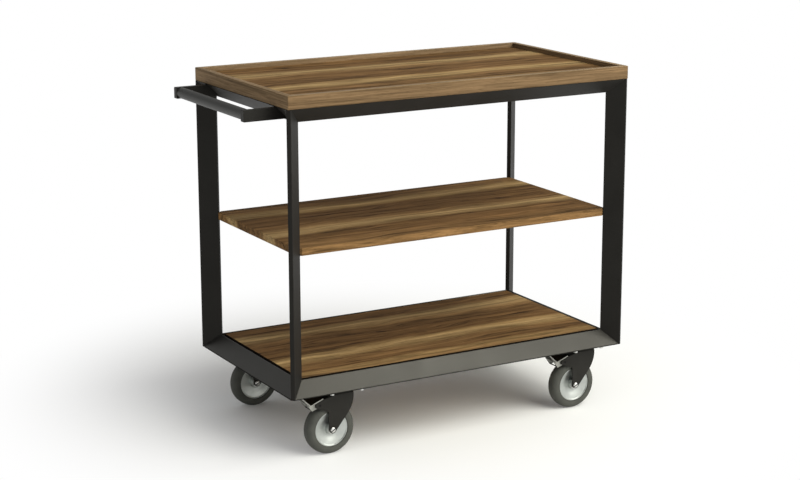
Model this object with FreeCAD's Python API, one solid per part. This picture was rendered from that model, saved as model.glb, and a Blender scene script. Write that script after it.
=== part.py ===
import FreeCAD, Part
import math
import os

# A serving trolley on four braked swivel casters, in millimetres.
# +Z is up and the floor is z = 0. +X runs along the length, with the push handle at the -X end.
# The origin lies on the floor under the middle of the overall length, handle included.

# Frame of flat steel tube, every tube turned 45 degrees so that its faces point at the frame's middle.
# The rails' outer edges are cut off, which gives the frame a flat top and a flat bottom.
FRAME_LENGTH = 1000.0
FRAME_DEPTH = 554.5
FRAME_HEIGHT = 727.0
FRAME_TRIM = 8.3
BAR_WIDTH = 55.3
BAR_THICKNESS = 11.6
BAR_WALL = 1.5
BAR_EDGE_RADIUS = 1.5

# Wooden tray on top of the frame
TRAY_HEIGHT = 34.2
TRAY_INSET = 2.0
LIP_THICKNESS = 16.0
LIP_EDGE_RADIUS = 1.5
TRAY_RECESS = 12.0

# Middle shelf between the legs
SHELF_THICKNESS = 19.0
SHELF_TOP_RISE = 375.3
SHELF_END_INSET = 38.2
SHELF_SIDE_INSET = 35.5
SHELF_LEG_GAP = 0.8
BOARD_EDGE_RADIUS = 1.0

# Lower board inside the bottom rails
LOWER_BOARD_THICKNESS = 18.0
LOWER_BOARD_GAP = 1.5

# Folded steel members across the bottom rails, which carry the lower board and the casters
CHANNEL_MARGIN = 6.0
CHANNEL_WALL = 3.0
CHANNEL_LIP = 24.0
CHANNEL_SCREW_EDGE = 130.0

# Steel tabs under the tray, and let into the underside of the middle shelf
TAB_THICKNESS = 4.0
TAB_LENGTH = 40.0
TAB_REACH = 48.0
TAB_SCREW_INSET = 32.0
TAB_END_SPACING = 330.0
CORNER_TAB_LENGTH = 46.0
CORNER_TAB_WIDTH = 12.0
CORNER_POCKET_GAP = 0.3
CORNER_SCREW_FIRST = 16.0
CORNER_SCREW_STEP = 18.0

# Wood screws
SCREW_RADIUS = 2.0
SCREW_LENGTH = 15.0
SCREW_HEAD_RADIUS = 4.0
SCREW_HEAD_HEIGHT = 2.6
SCREW_HOLE_CLEARANCE = 0.3
SCREW_PILOT_CLEARANCE = 0.02
SCREW_TIP_CLEARANCE = 0.5

# Push handle at the left end
HANDLE_REACH = 85.6
HANDLE_SIDE_INSET = 65.9
ARM_HEIGHT = 29.0
ARM_THICKNESS = 15.5
ARM_WALL = 1.5
ARM_DROP = 2.6
ARM_EDGE_RADIUS = 2.0
GRIP_DIAMETER = 28.6
GRIP_WALL = 1.5
GRIP_END_MARGIN = 0.8

# Casters: where they stand under the frame and how they are bolted on
LEFT_CASTER_INSET = 169.8
RIGHT_CASTER_INSET = 87.6
NUT_RAIL_GAP = 2.6
PLATE_LENGTH = 104.0
PLATE_WIDTH = 66.0
PLATE_THICKNESS = 5.0
PLATE_CORNER_RADIUS = 8.0
HOLE_END_INSET = 10.0
HOLE_SIDE_INSET = 10.5
BOLT_RADIUS = 3.0
BOLT_HEAD_WIDTH = 10.0
BOLT_HEAD_HEIGHT = 6.4
BOLT_WASHER_RADIUS = 7.0
BOLT_WASHER_THICKNESS = 2.0
BOLT_TIP = 1.5
NUT_HEIGHT = 5.0
BOLT_CLEARANCE = 0.5
NUT_CLEARANCE = 0.05

# Caster swivel
SWIVEL_GAP = 5.2
RACE_OUTER_RADIUS = 18.0
RACE_INNER_RADIUS = 10.0
RACE_EDGE_RADIUS = 2.0
KINGPIN_RADIUS = 6.0
KINGPIN_HEAD_RADIUS = 10.0
KINGPIN_HEAD_HEIGHT = 2.6
KINGPIN_FLANGE_HEIGHT = 5.0
KINGPIN_HEAD_CLEARANCE = 2.0
RUNNING_CLEARANCE = 0.08
FIT_CLEARANCE = 0.05
FACE_CLEARANCE = 0.1

# Caster wheel
WHEEL_DIAMETER = 134.0
WHEEL_FRAME_GAP = 38.7
TRAIL = 41.6
TYRE_WIDTH = 36.5
TYRE_SHOULDER_RADIUS = 14.0
TYRE_EDGE_RADIUS = 2.0
TYRE_DEPTH = 21.2
RIM_WIDTH = 32.0
RIM_RING_WIDTH = 5.0
RIM_DISC_RECESS = 3.0
HUB_RADIUS = 16.0
HUB_SIDE_CLEARANCE = 1.0
BEARING_SIDE_CLEARANCE = 0.3
BEARING_RADIUS = 11.0
AXLE_RADIUS = 5.0
AXLE_HEAD_RADIUS = 7.0
AXLE_HEAD_HEIGHT = 3.0
AXLE_SLOT_WIDTH = 1.8
AXLE_SLOT_DEPTH = 1.6
AXLE_SLOT_TURN = 30.0
AXLE_NUT_WIDTH = 17.0
AXLE_NUT_HEIGHT = 7.0
AXLE_TIP = 2.0

# Caster fork, measured from the axle: +X is towards the kingpin
FORK_SIDE_CLEARANCE = 2.25
FORK_THICKNESS = 4.0
FORK_BEND_RADIUS = 7.0
FORK_NOSE = 18.4
FORK_NOSE_LENGTH = 35.5
FORK_NOSE_ROUNDING = 75.0
FORK_CROWN_START = 22.0
FORK_BOSS_RADIUS = 9.2
FORK_NOTCH_X = -11.5
FORK_NOTCH_Z = 51.0
FORK_NOTCH_RADIUS = 5.0
LOBE_TIP_MARGIN = 12.0
LOBE_UNDER_MARGIN = 5.3
LOBE_ROUNDING = 5.0

# Brake pedal: a folded plate that rocks on a pin through the fork's rear lobes. Its pin stands behind the
# axle, PIVOT_RISE degrees above the level.
PIVOT_TYRE_GAP = 12.0
PIVOT_RISE = 62.9
PIVOT_RADIUS = 3.0
PIVOT_PROUD = 1.0
PEDAL_THICKNESS = 2.6
PEDAL_PIVOT_DISTANCE = 12.0
PEDAL_SLOPE = 21.0
PEDAL_BEND = 116.0
PEDAL_INNER_ARM = 37.8
PEDAL_OUTER_ARM = 40.0
PEDAL_KNUCKLE_DISTANCE = 23.6
PEDAL_TIP_RADIUS = 7.0
PEDAL_FORK_GAP = 1.5
CHEEK_THICKNESS = 2.6
CHEEK_OUTER_REACH = 26.0
CHEEK_INNER_REACH = 26.0
CHEEK_DEPTH = 16.5
CHEEK_FOOT_SHIFT = 6.0
SPACER_RADIUS = 1.5
SPACER_RISE = 2.5
EAR_RADIUS = 7.0
PEDAL_TRAVEL = 15.0
SHOE_RADIUS = 3.0
SHOE_TYRE_GAP = 0.5

# Lines shorter than this are left out of an outline
SHORTEST_EDGE = 1e-6

# Places that follow from the sizes above
DIAGONAL = math.sqrt(2.0)
BAR_OUTER_EDGE = BAR_THICKNESS / 2 - BAR_EDGE_RADIUS * (2 - DIAGONAL)
BAR_INNER_EDGE = BAR_OUTER_EDGE + BAR_WIDTH
BAR_REACH = (BAR_INNER_EDGE + BAR_THICKNESS / 2) / DIAGONAL
BAR_FACE_OFFSET = BAR_THICKNESS / DIAGONAL

WHEEL_RADIUS = WHEEL_DIAMETER / 2
RIM_RADIUS = WHEEL_RADIUS - TYRE_DEPTH
AXLE_DROP = WHEEL_RADIUS + WHEEL_FRAME_GAP
PIVOT_REACH = WHEEL_RADIUS + PIVOT_TYRE_GAP
PIVOT_X = -PIVOT_REACH * math.cos(math.radians(PIVOT_RISE))
PIVOT_Z = PIVOT_REACH * math.sin(math.radians(PIVOT_RISE))
FRAME_BOTTOM = WHEEL_RADIUS + AXLE_DROP
FRAME_TOP = FRAME_BOTTOM + FRAME_HEIGHT
ENVELOPE_BOTTOM = FRAME_BOTTOM - FRAME_TRIM
ENVELOPE_TOP = FRAME_TOP + FRAME_TRIM
FRAME_MIDDLE_X = HANDLE_REACH / 2
FRAME_LEFT = FRAME_MIDDLE_X - FRAME_LENGTH / 2
FRAME_RIGHT = FRAME_MIDDLE_X + FRAME_LENGTH / 2
FRAME_FRONT = -FRAME_DEPTH / 2
FRAME_REAR = FRAME_DEPTH / 2

PANEL_TOP = FRAME_TOP + TRAY_HEIGHT - TRAY_RECESS
SHELF_TOP = FRAME_BOTTOM + SHELF_TOP_RISE
SHELF_BOTTOM = SHELF_TOP - SHELF_THICKNESS
LOWER_BOARD_TOP = ENVELOPE_BOTTOM + BAR_REACH
LOWER_BOARD_BOTTOM = LOWER_BOARD_TOP - LOWER_BOARD_THICKNESS
LOWER_BOARD_INSET = BAR_REACH + LOWER_BOARD_GAP

HOLE_SPACING_X = PLATE_LENGTH - 2 * HOLE_END_INSET
HOLE_SPACING_Y = PLATE_WIDTH - 2 * HOLE_SIDE_INSET
CHANNEL_WIDTH = PLATE_LENGTH + 2 * CHANNEL_MARGIN
NUT_RAIL_INSET = FRAME_TRIM + BAR_FACE_OFFSET + CHANNEL_WALL + NUT_HEIGHT + NUT_RAIL_GAP
CASTER_SIDE_INSET = NUT_RAIL_INSET + BOLT_HEAD_WIDTH / 2 + HOLE_SPACING_Y / 2
PLATE_BOTTOM = FRAME_BOTTOM - PLATE_THICKNESS
CROWN_TOP = AXLE_DROP - PLATE_THICKNESS - SWIVEL_GAP
FORK_INNER = TYRE_WIDTH / 2 + FORK_SIDE_CLEARANCE
FORK_OUTER = FORK_INNER + FORK_THICKNESS
LEFT_SWIVEL_X = FRAME_LEFT + LEFT_CASTER_INSET
RIGHT_SWIVEL_X = FRAME_RIGHT - RIGHT_CASTER_INSET
SWIVEL_Y = FRAME_REAR - CASTER_SIDE_INSET
CASTERS = {
    "front_left": (LEFT_SWIVEL_X, -SWIVEL_Y),
    "front_right": (RIGHT_SWIVEL_X, -SWIVEL_Y),
    "rear_left": (LEFT_SWIVEL_X, SWIVEL_Y),
    "rear_right": (RIGHT_SWIVEL_X, SWIVEL_Y),
}

ORIGIN = FreeCAD.Vector(0, 0, 0)
ALONG_X = FreeCAD.Vector(1, 0, 0)
ALONG_Y = FreeCAD.Vector(0, 1, 0)
ALONG_Z = FreeCAD.Vector(0, 0, 1)


def rounded_edges(corners):
    """Lines and arcs of a closed outline of (u, v, corner radius), in the XY plane."""
    points = [FreeCAD.Vector(u, v, 0) for u, v, radius in corners]
    turns = []
    for i, (u, v, radius) in enumerate(corners):
        here = points[i]
        back = (points[i - 1] - here).normalize()
        ahead = (points[(i + 1) % len(points)] - here).normalize()
        half_angle = back.getAngle(ahead) / 2
        run = radius / math.tan(half_angle)
        inward = (back + ahead).normalize()
        nearest = here + inward * (radius / math.sin(half_angle) - radius)
        turns.append((here + back * run, nearest, here + ahead * run, radius))
    edges = []
    for i, (start, nearest, end, radius) in enumerate(turns):
        if radius:
            edges.append(Part.Arc(start, nearest, end).toShape())
        following = turns[(i + 1) % len(turns)][0]
        if end.distanceToPoint(following) > SHORTEST_EDGE:
            edges.append(Part.LineSegment(end, following).toShape())
    return edges


def slab(corners, axis, low, high):
    """An outline of (u, v, corner radius) stretched along one axis, from low to high."""
    face = Part.Face(Part.Wire(rounded_edges(corners)))
    solid = face.extrude(FreeCAD.Vector(0, 0, high - low))
    solid.translate(FreeCAD.Vector(0, 0, low))
    if axis == "x":
        solid.rotate(ORIGIN, FreeCAD.Vector(1, 1, 1), 120)
    if axis == "y":
        solid.rotate(ORIGIN, ALONG_X, 90)
        solid = solid.mirror(ORIGIN, ALONG_Y)
    return solid


def rectangle(low_u, high_u, low_v, high_v, radius=0):
    """The corners of a rectangle, all rounded alike."""
    return [
        (low_u, low_v, radius),
        (high_u, low_v, radius),
        (high_u, high_v, radius),
        (low_u, high_v, radius),
    ]


def rod(radius, low, high, x=0, y=0):
    """An upright cylinder."""
    return Part.makeCylinder(radius, high - low, FreeCAD.Vector(x, y, low), ALONG_Z)


def cross_rod(radius, low, high, x=0, z=0):
    """A cylinder along Y."""
    return Part.makeCylinder(radius, high - low, FreeCAD.Vector(x, low, z), ALONG_Y)


def hexagon(width):
    """The corners of a hexagon with two flats facing -V and +V."""
    radius = width / math.sqrt(3.0)
    angles = [math.radians(60 * i) for i in range(6)]
    return [(radius * math.cos(angle), radius * math.sin(angle), 0) for angle in angles]


def turned(corners):
    """A solid of revolution about Y, from an outline of (radius, y, corner radius)."""
    face = Part.Face(Part.Wire(rounded_edges(corners)))
    return face.revolve(ORIGIN, ALONG_Y, 360)


def moved(solid, x, y, z):
    """A copy of a solid, shifted."""
    copy = solid.copy()
    copy.translate(FreeCAD.Vector(x, y, z))
    return copy


def flipped_x(solid):
    """The same piece at the frame's other end."""
    return solid.mirror(FreeCAD.Vector(FRAME_MIDDLE_X, 0, 0), ALONG_X)


def flipped_y(solid):
    """The same piece at the frame's other side."""
    return solid.mirror(ORIGIN, ALONG_Y)


def flipped_z(solid):
    """The same piece at the other height of the frame."""
    return solid.mirror(FreeCAD.Vector(0, 0, FRAME_BOTTOM + FRAME_HEIGHT / 2), ALONG_Z)


def mitred(solid, length, reach, axis, depth):
    """A strip along X with its ends cut at 45 degrees, its long side on the outside."""
    corners = [(0, 0, 0), (length, 0, 0), (length - reach, reach, 0), (reach, reach, 0)]
    return solid.common(slab(corners, axis, 0, depth))


def bar(length, kept):
    """One frame tube along X: the frame's corner edge is at the origin and its inside is at +Y +Z.
    The tube and its hollow are cut back to the block that kept(inset) gives for each.
    """
    def section(inset, radius):
        half = BAR_THICKNESS / 2 - inset
        corners = []
        for along, across, rounding in rectangle(
            BAR_OUTER_EDGE + inset, BAR_INNER_EDGE - inset, -half, half, radius
        ):
            corners.append(((along + across) / DIAGONAL, (along - across) / DIAGONAL, rounding))
        return slab(corners, "x", 0, length).common(kept(inset))

    tube = section(0, BAR_EDGE_RADIUS).cut(section(BAR_WALL, 0))
    tube = mitred(tube, length, BAR_REACH, "z", BAR_REACH)
    return mitred(tube, length, BAR_REACH, "y", BAR_REACH)


def frame():
    """Four legs, four top rails and four bottom rails that meet in three-way mitres."""
    leg_length = ENVELOPE_TOP - ENVELOPE_BOTTOM

    def above_bottom(inset):
        return slab(rectangle(0, FRAME_LENGTH, FRAME_TRIM + inset, BAR_REACH), "y", 0, BAR_REACH)

    def between_ends(inset):
        cut = FRAME_TRIM + inset
        return slab(rectangle(cut, leg_length - cut, 0, BAR_REACH), "y", 0, BAR_REACH)

    front_rail = moved(bar(FRAME_LENGTH, above_bottom), FRAME_LEFT, FRAME_FRONT, ENVELOPE_BOTTOM)
    right_rail = bar(FRAME_DEPTH, above_bottom)
    right_rail.rotate(ORIGIN, ALONG_Z, 90)
    right_rail.translate(FreeCAD.Vector(FRAME_RIGHT, FRAME_FRONT, ENVELOPE_BOTTOM))
    leg = bar(leg_length, between_ends)
    leg.rotate(ORIGIN, ALONG_Y, -90)
    leg.translate(FreeCAD.Vector(FRAME_RIGHT, FRAME_FRONT, ENVELOPE_BOTTOM))
    bottom = {
        "front": front_rail,
        "rear": flipped_y(front_rail),
        "right": right_rail,
        "left": flipped_x(right_rail),
    }
    nodes = {}
    for side, rail in bottom.items():
        nodes["bottom_rail_" + side] = rail
        nodes["top_rail_" + side] = flipped_z(rail)
    nodes["leg_front_right"] = leg
    nodes["leg_front_left"] = flipped_x(leg)
    nodes["leg_rear_right"] = flipped_y(leg)
    nodes["leg_rear_left"] = flipped_x(flipped_y(leg))
    return nodes


def wood_screw(x, y, seat):
    """A pan-head screw driven up from under a seat."""
    shank = rod(SCREW_RADIUS, seat, seat + SCREW_LENGTH, x, y)
    head = rod(SCREW_HEAD_RADIUS, seat - SCREW_HEAD_HEIGHT, seat, x, y)
    return head.fuse(shank).removeSplitter()


def screw_pilots(places, seat):
    """The holes that the screws at these places make in the wood."""
    radius = SCREW_RADIUS + SCREW_PILOT_CLEARANCE
    return [rod(radius, seat, seat + SCREW_LENGTH + SCREW_TIP_CLEARANCE, x, y) for x, y in places]


def screw_holes(places, seat, thickness):
    """The clearance holes for screws at these places, through the steel above the seat."""
    radius = SCREW_RADIUS + SCREW_HOLE_CLEARANCE
    return [rod(radius, seat, seat + thickness, x, y) for x, y in places]


def tray():
    """A panel framed by four mitred lips, all resting on the top rails."""
    def lip(length):
        corners = rectangle(0, LIP_THICKNESS, 0, TRAY_HEIGHT)
        corners[2] = (LIP_THICKNESS, TRAY_HEIGHT, LIP_EDGE_RADIUS)
        corners[3] = (0, TRAY_HEIGHT, LIP_EDGE_RADIUS)
        return mitred(slab(corners, "x", 0, length), length, LIP_THICKNESS, "z", TRAY_HEIGHT)

    left = FRAME_LEFT + TRAY_INSET
    right = FRAME_RIGHT - TRAY_INSET
    front = FRAME_FRONT + TRAY_INSET
    rear = FRAME_REAR - TRAY_INSET
    front_lip = moved(lip(right - left), left, front, FRAME_TOP)
    right_lip = lip(rear - front)
    right_lip.rotate(ORIGIN, ALONG_Z, 90)
    right_lip.translate(FreeCAD.Vector(right, front, FRAME_TOP))
    inset = LIP_THICKNESS
    panel = slab(rectangle(left + inset, right - inset, front + inset, rear - inset), "z", FRAME_TOP, PANEL_TOP)
    pilots = screw_pilots(tray_screw_places(), FRAME_TOP - TAB_THICKNESS)
    return {
        "tray_panel": panel.cut(pilots),
        "tray_lip_front": front_lip,
        "tray_lip_rear": flipped_y(front_lip),
        "tray_lip_right": right_lip,
        "tray_lip_left": flipped_x(right_lip),
    }


def tray_tab_places():
    """The middles of the tabs along the front and rear rails, and along the end rails."""
    along_length = [FRAME_MIDDLE_X + TAB_END_SPACING * step for step in (-1, 0, 1)]
    return along_length, [0.0]


def tray_screw_places():
    """One screw in the middle of each tray tab."""
    along_length, along_depth = tray_tab_places()
    places = []
    for x in along_length:
        places.append((x, FRAME_FRONT + TAB_SCREW_INSET))
        places.append((x, FRAME_REAR - TAB_SCREW_INSET))
    for y in along_depth:
        places.append((FRAME_LEFT + TAB_SCREW_INSET, y))
        places.append((FRAME_RIGHT - TAB_SCREW_INSET, y))
    return places


def tray_tabs():
    """Flat tabs welded to the inner faces of the top rails, level with the rails' top."""
    low = FRAME_TOP - TAB_THICKNESS
    start = FRAME_TRIM + BAR_FACE_OFFSET
    corners = [
        (start, FRAME_TOP, 0),
        (start + TAB_THICKNESS, low, 0),
        (TAB_REACH, low, 0),
        (TAB_REACH, FRAME_TOP, 0),
    ]
    tab = slab(corners, "x", -TAB_LENGTH / 2, TAB_LENGTH / 2)
    along_length, along_depth = tray_tab_places()
    tabs = []
    for x in along_length:
        front_tab = moved(tab, x, FRAME_FRONT, 0)
        tabs.extend([front_tab, flipped_y(front_tab)])
    for y in along_depth:
        end_tab = tab.copy()
        end_tab.rotate(ORIGIN, ALONG_Z, -90)
        end_tab.translate(FreeCAD.Vector(FRAME_LEFT, y, 0))
        tabs.extend([end_tab, flipped_x(end_tab)])
    holes = screw_holes(tray_screw_places(), low, TAB_THICKNESS)
    return [piece.cut(holes) for piece in tabs]


def shelf_corners():
    """The frame's corners, with the direction from each to the frame's middle."""
    corners = []
    for x, towards_x in ((FRAME_LEFT, 1), (FRAME_RIGHT, -1)):
        for y, towards_y in ((FRAME_FRONT, 1), (FRAME_REAR, -1)):
            corners.append((x, y, towards_x, towards_y))
    return corners


def shelf_screw_places():
    """Two screws in line on each corner tab."""
    places = []
    for x, y, towards_x, towards_y in shelf_corners():
        for step in (0, 1):
            along = BAR_INNER_EDGE + CORNER_SCREW_FIRST + CORNER_SCREW_STEP * step
            places.append((x + towards_x * along / DIAGONAL, y + towards_y * along / DIAGONAL))
    return places


def middle_shelf():
    """A board between the legs, with its corners cut off along the legs' inner edges."""
    cut = (BAR_INNER_EDGE + SHELF_LEG_GAP) * DIAGONAL - SHELF_END_INSET - SHELF_SIDE_INSET
    left = FRAME_LEFT + SHELF_END_INSET
    right = FRAME_RIGHT - SHELF_END_INSET
    front = FRAME_FRONT + SHELF_SIDE_INSET
    rear = FRAME_REAR - SHELF_SIDE_INSET
    outline = [
        (left + cut, front, 0), (right - cut, front, 0), (right, front + cut, 0), (right, rear - cut, 0),
        (right - cut, rear, 0), (left + cut, rear, 0), (left, rear - cut, 0), (left, front + cut, 0),
    ]
    board = softened(slab(outline, "z", SHELF_BOTTOM, SHELF_TOP), SHELF_TOP)
    pilots = screw_pilots(shelf_screw_places(), SHELF_BOTTOM)
    return board.cut(corner_blocks(CORNER_POCKET_GAP) + pilots)


def softened(board, top):
    """A board with the edges of its top face rounded."""
    edges = [edge for edge in board.Edges if edge.BoundBox.ZMin > top - BOARD_EDGE_RADIUS]
    return board.makeFillet(BOARD_EDGE_RADIUS, edges)


def corner_blocks(gap):
    """A flat block at each leg's inner edge, level with the shelf's underside: a tab, or its wider pocket."""
    half = CORNER_TAB_WIDTH / 2 + gap
    outline = rectangle(BAR_INNER_EDGE, BAR_INNER_EDGE + CORNER_TAB_LENGTH + gap, -half, half)
    blocks = []
    for x, y, towards_x, towards_y in shelf_corners():
        block = slab(outline, "z", SHELF_BOTTOM, SHELF_BOTTOM + TAB_THICKNESS)
        block.rotate(ORIGIN, ALONG_Z, math.degrees(math.atan2(towards_y, towards_x)))
        block.translate(FreeCAD.Vector(x, y, 0))
        blocks.append(block)
    return blocks


def shelf_tabs():
    """Flat tabs welded to the legs' inner edges, let into the corners of the middle shelf."""
    holes = screw_holes(shelf_screw_places(), SHELF_BOTTOM, TAB_THICKNESS)
    return [tab.cut(holes) for tab in corner_blocks(0)]


def channel_screw_places():
    """Two screws through the lip of each cross member."""
    across = CHANNEL_WIDTH / 2 + CHANNEL_LIP / 2
    reach = FRAME_DEPTH / 2 - CHANNEL_SCREW_EDGE
    places = []
    for x in (LEFT_SWIVEL_X + across, RIGHT_SWIVEL_X - across):
        places.extend([(x, -reach), (x, reach)])
    return places


def lower_board():
    """A board level with the inner edges of the bottom rails, lying on the cross members."""
    outline = rectangle(
        FRAME_LEFT + LOWER_BOARD_INSET, FRAME_RIGHT - LOWER_BOARD_INSET,
        FRAME_FRONT + LOWER_BOARD_INSET, FRAME_REAR - LOWER_BOARD_INSET,
    )
    board = softened(slab(outline, "z", LOWER_BOARD_BOTTOM, LOWER_BOARD_TOP), LOWER_BOARD_TOP)
    return board.cut(screw_pilots(channel_screw_places(), LOWER_BOARD_BOTTOM - CHANNEL_WALL))


def cross_member(swivel_x, inward):
    """A folded channel from the front rail to the rear rail, with a lip towards the frame's middle."""
    half = CHANNEL_WIDTH / 2
    wall = CHANNEL_WALL
    low = FRAME_BOTTOM
    high = LOWER_BOARD_BOTTOM
    section = [
        (-half, low, 0), (half, low, 0), (half, high - wall, 0), (half + CHANNEL_LIP, high - wall, 0),
        (half + CHANNEL_LIP, high, 0), (half - wall, high, 0), (half - wall, low + wall, 0),
        (wall - half, low + wall, 0), (wall - half, high, 0), (-half, high, 0),
    ]
    channel = slab(section, "y", FRAME_FRONT, FRAME_REAR)
    if inward < 0:
        channel = channel.mirror(ORIGIN, ALONG_X)
    channel.translate(FreeCAD.Vector(swivel_x, 0, 0))
    rise = high - low

    def between_rails(first, last):
        start = first + FRAME_TRIM + BAR_FACE_OFFSET
        end = last - FRAME_TRIM - BAR_FACE_OFFSET
        return [(start, low, 0), (end, low, 0), (end - rise, high, 0), (start + rise, high, 0)]

    channel = channel.common(slab(between_rails(FRAME_FRONT, FRAME_REAR), "x", FRAME_LEFT, FRAME_RIGHT))
    channel = channel.common(slab(between_rails(FRAME_LEFT, FRAME_RIGHT), "y", FRAME_FRONT, FRAME_REAR))
    holes = screw_holes(channel_screw_places(), high - wall, wall)
    for x, y in caster_bolt_places():
        holes.append(rod(BOLT_RADIUS + BOLT_CLEARANCE, low, low + wall, x, y))
    for x, y in CASTERS.values():
        holes.append(rod(KINGPIN_HEAD_RADIUS + KINGPIN_HEAD_CLEARANCE, low, low + wall, x, y))
    return channel.cut(holes)


def wood_screws():
    """All the screws that hold the tray, the middle shelf and the lower board."""
    seats = [
        (tray_screw_places(), FRAME_TOP - TAB_THICKNESS),
        (shelf_screw_places(), SHELF_BOTTOM),
        (channel_screw_places(), LOWER_BOARD_BOTTOM - CHANNEL_WALL),
    ]
    return [wood_screw(x, y, seat) for places, seat in seats for x, y in places]


def handle():
    """Two arms welded to the left top rail, and a round grip between them."""
    top = FRAME_TOP - ARM_DROP
    low = top - ARM_HEIGHT
    end = FRAME_LEFT - HANDLE_REACH
    outer_y = FRAME_REAR - HANDLE_SIDE_INSET
    inner_y = outer_y - ARM_THICKNESS

    def at_rail(z):
        return FRAME_LEFT + ENVELOPE_TOP - z - BAR_FACE_OFFSET

    shell = [
        (end, low, ARM_EDGE_RADIUS), (at_rail(low), low, 0), (at_rail(top), top, 0), (end, top, ARM_EDGE_RADIUS)
    ]
    inner_low = low + ARM_WALL
    inner_top = top - ARM_WALL
    hollow = [
        (end + ARM_WALL, inner_low, 0), (at_rail(inner_low), inner_low, 0),
        (at_rail(inner_top), inner_top, 0), (end + ARM_WALL, inner_top, 0),
    ]
    arm = slab(shell, "y", -outer_y, -inner_y)
    arm = arm.cut(slab(hollow, "y", ARM_WALL - outer_y, -inner_y - ARM_WALL))
    radius = GRIP_DIAMETER / 2
    grip_x = end + GRIP_END_MARGIN + radius
    grip_z = (top + low) / 2
    grip = cross_rod(radius, -inner_y, inner_y, grip_x, grip_z)
    grip = grip.cut(cross_rod(radius - GRIP_WALL, -inner_y, inner_y, grip_x, grip_z))
    return {"handle_arm_front": arm, "handle_arm_rear": flipped_y(arm), "handle_grip": grip}


def caster_bolt_places():
    """Four bolts round every kingpin."""
    places = []
    for x, y in CASTERS.values():
        for side_x in (-1, 1):
            for side_y in (-1, 1):
                places.append((x + side_x * HOLE_SPACING_X / 2, y + side_y * HOLE_SPACING_Y / 2))
    return places


def caster_bolts():
    """Hexagon bolts with their washers, driven up through the caster plates."""
    seat = PLATE_BOTTOM - BOLT_WASHER_THICKNESS
    top = FRAME_BOTTOM + CHANNEL_WALL + NUT_HEIGHT + BOLT_TIP
    bolt = slab(hexagon(BOLT_HEAD_WIDTH), "z", seat - BOLT_HEAD_HEIGHT, seat)
    bolt = bolt.fuse([rod(BOLT_WASHER_RADIUS, seat, PLATE_BOTTOM), rod(BOLT_RADIUS, seat, top)])
    bolt = bolt.removeSplitter()
    return [moved(bolt, x, y, 0) for x, y in caster_bolt_places()]


def caster_nuts():
    """Nuts inside the cross members."""
    low = FRAME_BOTTOM + CHANNEL_WALL
    nut = slab(hexagon(BOLT_HEAD_WIDTH), "z", low, low + NUT_HEIGHT)
    nut = nut.cut(rod(BOLT_RADIUS + NUT_CLEARANCE, low, low + NUT_HEIGHT))
    return [moved(nut, x, y, 0) for x, y in caster_bolt_places()]


def caster_plate(x, y):
    """The plate that is bolted under a cross member."""
    outline = rectangle(
        x - PLATE_LENGTH / 2, x + PLATE_LENGTH / 2, y - PLATE_WIDTH / 2, y + PLATE_WIDTH / 2, PLATE_CORNER_RADIUS
    )
    holes = [rod(KINGPIN_RADIUS + FIT_CLEARANCE, PLATE_BOTTOM, FRAME_BOTTOM, x, y)]
    for bolt_x, bolt_y in caster_bolt_places():
        holes.append(rod(BOLT_RADIUS + BOLT_CLEARANCE, PLATE_BOTTOM, FRAME_BOTTOM, bolt_x, bolt_y))
    return slab(outline, "z", PLATE_BOTTOM, FRAME_BOTTOM).cut(holes)


def kingpins():
    """The pins that the forks turn on, riveted over the plates."""
    crown_bottom = WHEEL_RADIUS + CROWN_TOP - FORK_THICKNESS
    flange_top = crown_bottom - FACE_CLEARANCE
    flange_bottom = flange_top - KINGPIN_FLANGE_HEIGHT
    head_top = FRAME_BOTTOM + KINGPIN_HEAD_HEIGHT
    pin = rod(KINGPIN_RADIUS, flange_bottom, head_top)
    head = rod(KINGPIN_HEAD_RADIUS, FRAME_BOTTOM, head_top)
    flange = rod(KINGPIN_HEAD_RADIUS, flange_bottom, flange_top)
    pin = pin.fuse([head, flange]).removeSplitter()
    return [moved(pin, x, y, 0) for x, y in CASTERS.values()]


def swivel_races():
    """The rings under the plates that hold the swivel balls."""
    low = WHEEL_RADIUS + CROWN_TOP + FACE_CLEARANCE
    corners = [
        (RACE_INNER_RADIUS, low, 0), (RACE_OUTER_RADIUS, low, RACE_EDGE_RADIUS),
        (RACE_OUTER_RADIUS, PLATE_BOTTOM, 0), (RACE_INNER_RADIUS, PLATE_BOTTOM, 0),
    ]
    race = turned(corners)
    race.rotate(ORIGIN, ALONG_X, 90)
    return [moved(race, x, y, 0) for x, y in CASTERS.values()]


def pedal_point(along, out):
    """A place on the pedal's inner arm: how far along its slope, and how far out from the pin."""
    slope = math.radians(PEDAL_SLOPE)
    x = PIVOT_X + along * math.cos(slope) - out * math.sin(slope)
    z = PIVOT_Z + along * math.sin(slope) + out * math.cos(slope)
    return x, z


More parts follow.
